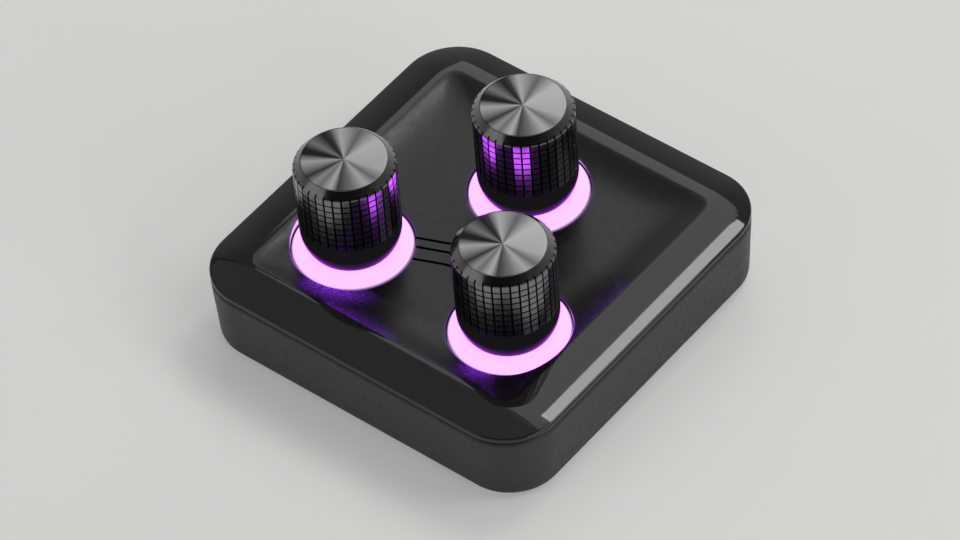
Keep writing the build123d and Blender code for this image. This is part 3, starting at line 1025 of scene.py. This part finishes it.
def knob_disc(name, place):
    """Spun disc with a fine bevel, let into the knob's top."""
    outline = [
        (support, disc_z, 0),
        (disc_radius, disc_z, 0),
        (disc_radius, knob_top_z, disc_bevel),
        (support, knob_top_z, 0),
    ]
    loops = [circle_loop(radius, z) for radius, z in supported(rounded(outline, False), False)]
    disc = make_object(f"disc_{name}", *bridge(loops, False), place)
    place_piece(disc, f"knob_{name}", "disc_aluminium", f"knob_disc_{name}")


def cap_height(reach, radius, height):
    """Height of a shallow round cap over its rim, at a distance from its axis."""
    ball = (radius**2 + height**2) / (2 * height)
    return math.sqrt(ball**2 - reach**2) - ball + height


def switch_dome(name, place):
    """Thin snap dome under a shaft."""
    node = f"switch_dome_{name}"
    low, high = node_box(node)
    loops = []
    for inset, steps in ((0, range(dome_steps + 1)), (dome_sheet, range(dome_steps, -1, -1))):
        radius = (high.x - low.x) / 2 - inset
        height = high.z - low.z - inset
        for step in steps:
            reach = max(radius * step / dome_steps, support)
            loops.append(circle_loop(reach, low.z + cap_height(reach, radius, height)))
    dome = make_object(f"dome_{name}", *bridge(loops, False), place)
    place_piece(dome, "housing", "bright_steel", node)
    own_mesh(dome)


lower_case()
cover()
deck()
for knob_name, knob_place in knob_places.items():
    light_ring(knob_name, knob_place)
    knob_shell(knob_name, knob_place)
    knob_disc(knob_name, knob_place)
    switch_dome(knob_name, knob_place)


# Floor, lights and camera

floor_corners = [(x, y, 0) for x, y in rectangle(floor_half, floor_half)]
floor = make_object("floor", floor_corners, [(0, 1, 2, 3)])
paper = materials["floor_paper"]
add_look(floor, paper)

# The paper looks paler to the camera and in reflections, and gives no more light to the object
paper_tree = paper.node_tree
paper_shader = shader(paper)
rays = paper_tree.nodes.new("ShaderNodeLightPath").outputs
seen = join(paper_tree, "MAXIMUM", rays["Is Camera Ray"], rays["Is Glossy Ray"])
seen = join(paper_tree, "MAXIMUM", seen, rays["Is Transmission Ray"])
paper_glow = remap(paper_tree, seen, 0, 1, 0, floor_glow)
paper_tree.links.new(paper_glow, paper_shader.inputs["Emission Strength"])
paper_shader.inputs["Emission Color"].default_value = floor_glow_color

world = bpy.data.worlds.new("studio")
bpy.context.scene.world = world
world.use_nodes = True
sky = world.node_tree
sky_place = sky.nodes.new("ShaderNodeSeparateXYZ")
sky.links.new(sky.nodes.new("ShaderNodeTexCoord").outputs["Generated"], sky_place.inputs["Vector"])
sky_stops = [(0, [horizon_light] * 3), (overhead_start, [overhead_light] * 3)]
sky.links.new(ramp(sky, sky_place.outputs["Z"], sky_stops), sky.nodes["Background"].inputs["Color"])


def softbox(name, low, high, radiance, whole=None):
    """A rectangular light far off. Lights that are given the same whole range lie in one plane."""
    whole_low, whole_high = whole or (low, high)
    x = (whole_low[0] + whole_high[0]) / 2
    y = (whole_low[1] + whole_high[1]) / 2
    aim = Vector((x, y, math.sqrt(1 - x * x - y * y)))
    across = Vector((aim.z, 0, -aim.x)).normalized()
    along = aim.cross(across)
    lamp = bpy.data.lights.new(name, "AREA")
    lamp.shape = "RECTANGLE"
    lamp.size = light_distance * MM * (high[0] - low[0]) / across.x
    lamp.size_y = light_distance * MM * (high[1] - low[1]) / along.y
    lamp.energy = radiance * math.pi * lamp.size * lamp.size_y
    obj = bpy.data.objects.new(name, lamp)
    turn = Matrix((across, along, aim)).transposed().to_4x4()
    shift_x = ((low[0] + high[0]) / 2 - x) / across.x
    shift_y = ((low[1] + high[1]) / 2 - y) / along.y
    spot = aim + across * shift_x + along * shift_y
    obj.matrix_world = Matrix.Translation(spot * light_distance * MM) @ turn
    bpy.context.scene.collection.objects.link(obj)


for number, (low, high) in enumerate(overhead_pieces):
    softbox(f"overhead_{number}", low, high, overhead_radiance, overhead_whole)
for name, (low, high, radiance) in softboxes.items():
    softbox(name, low, high, radiance)

camera_data = bpy.data.cameras.new("camera")
camera_data.lens = camera_lens
camera = bpy.data.objects.new("camera", camera_data)
back = Vector((
    math.sin(camera_azimuth) * math.cos(camera_elevation),
    -math.cos(camera_azimuth) * math.cos(camera_elevation),
    math.sin(camera_elevation),
))
level_right = Vector((math.cos(camera_azimuth), math.sin(camera_azimuth), 0))
level_up = back.cross(level_right)
right = math.cos(camera_roll) * level_right + math.sin(camera_roll) * level_up
up = math.cos(camera_roll) * level_up - math.sin(camera_roll) * level_right
target = Vector((0, 0, case_bottom_z)) - right * frame_offset_x - up * frame_offset_y
eye = Matrix.Translation((target + back * camera_distance) * MM)
camera.matrix_world = eye @ Matrix((right, up, back)).transposed().to_4x4()
bpy.context.scene.collection.objects.link(camera)
bpy.context.scene.camera = camera

bpy.context.scene.view_settings.view_transform = "Standard"

bpy.context.view_layer.update()
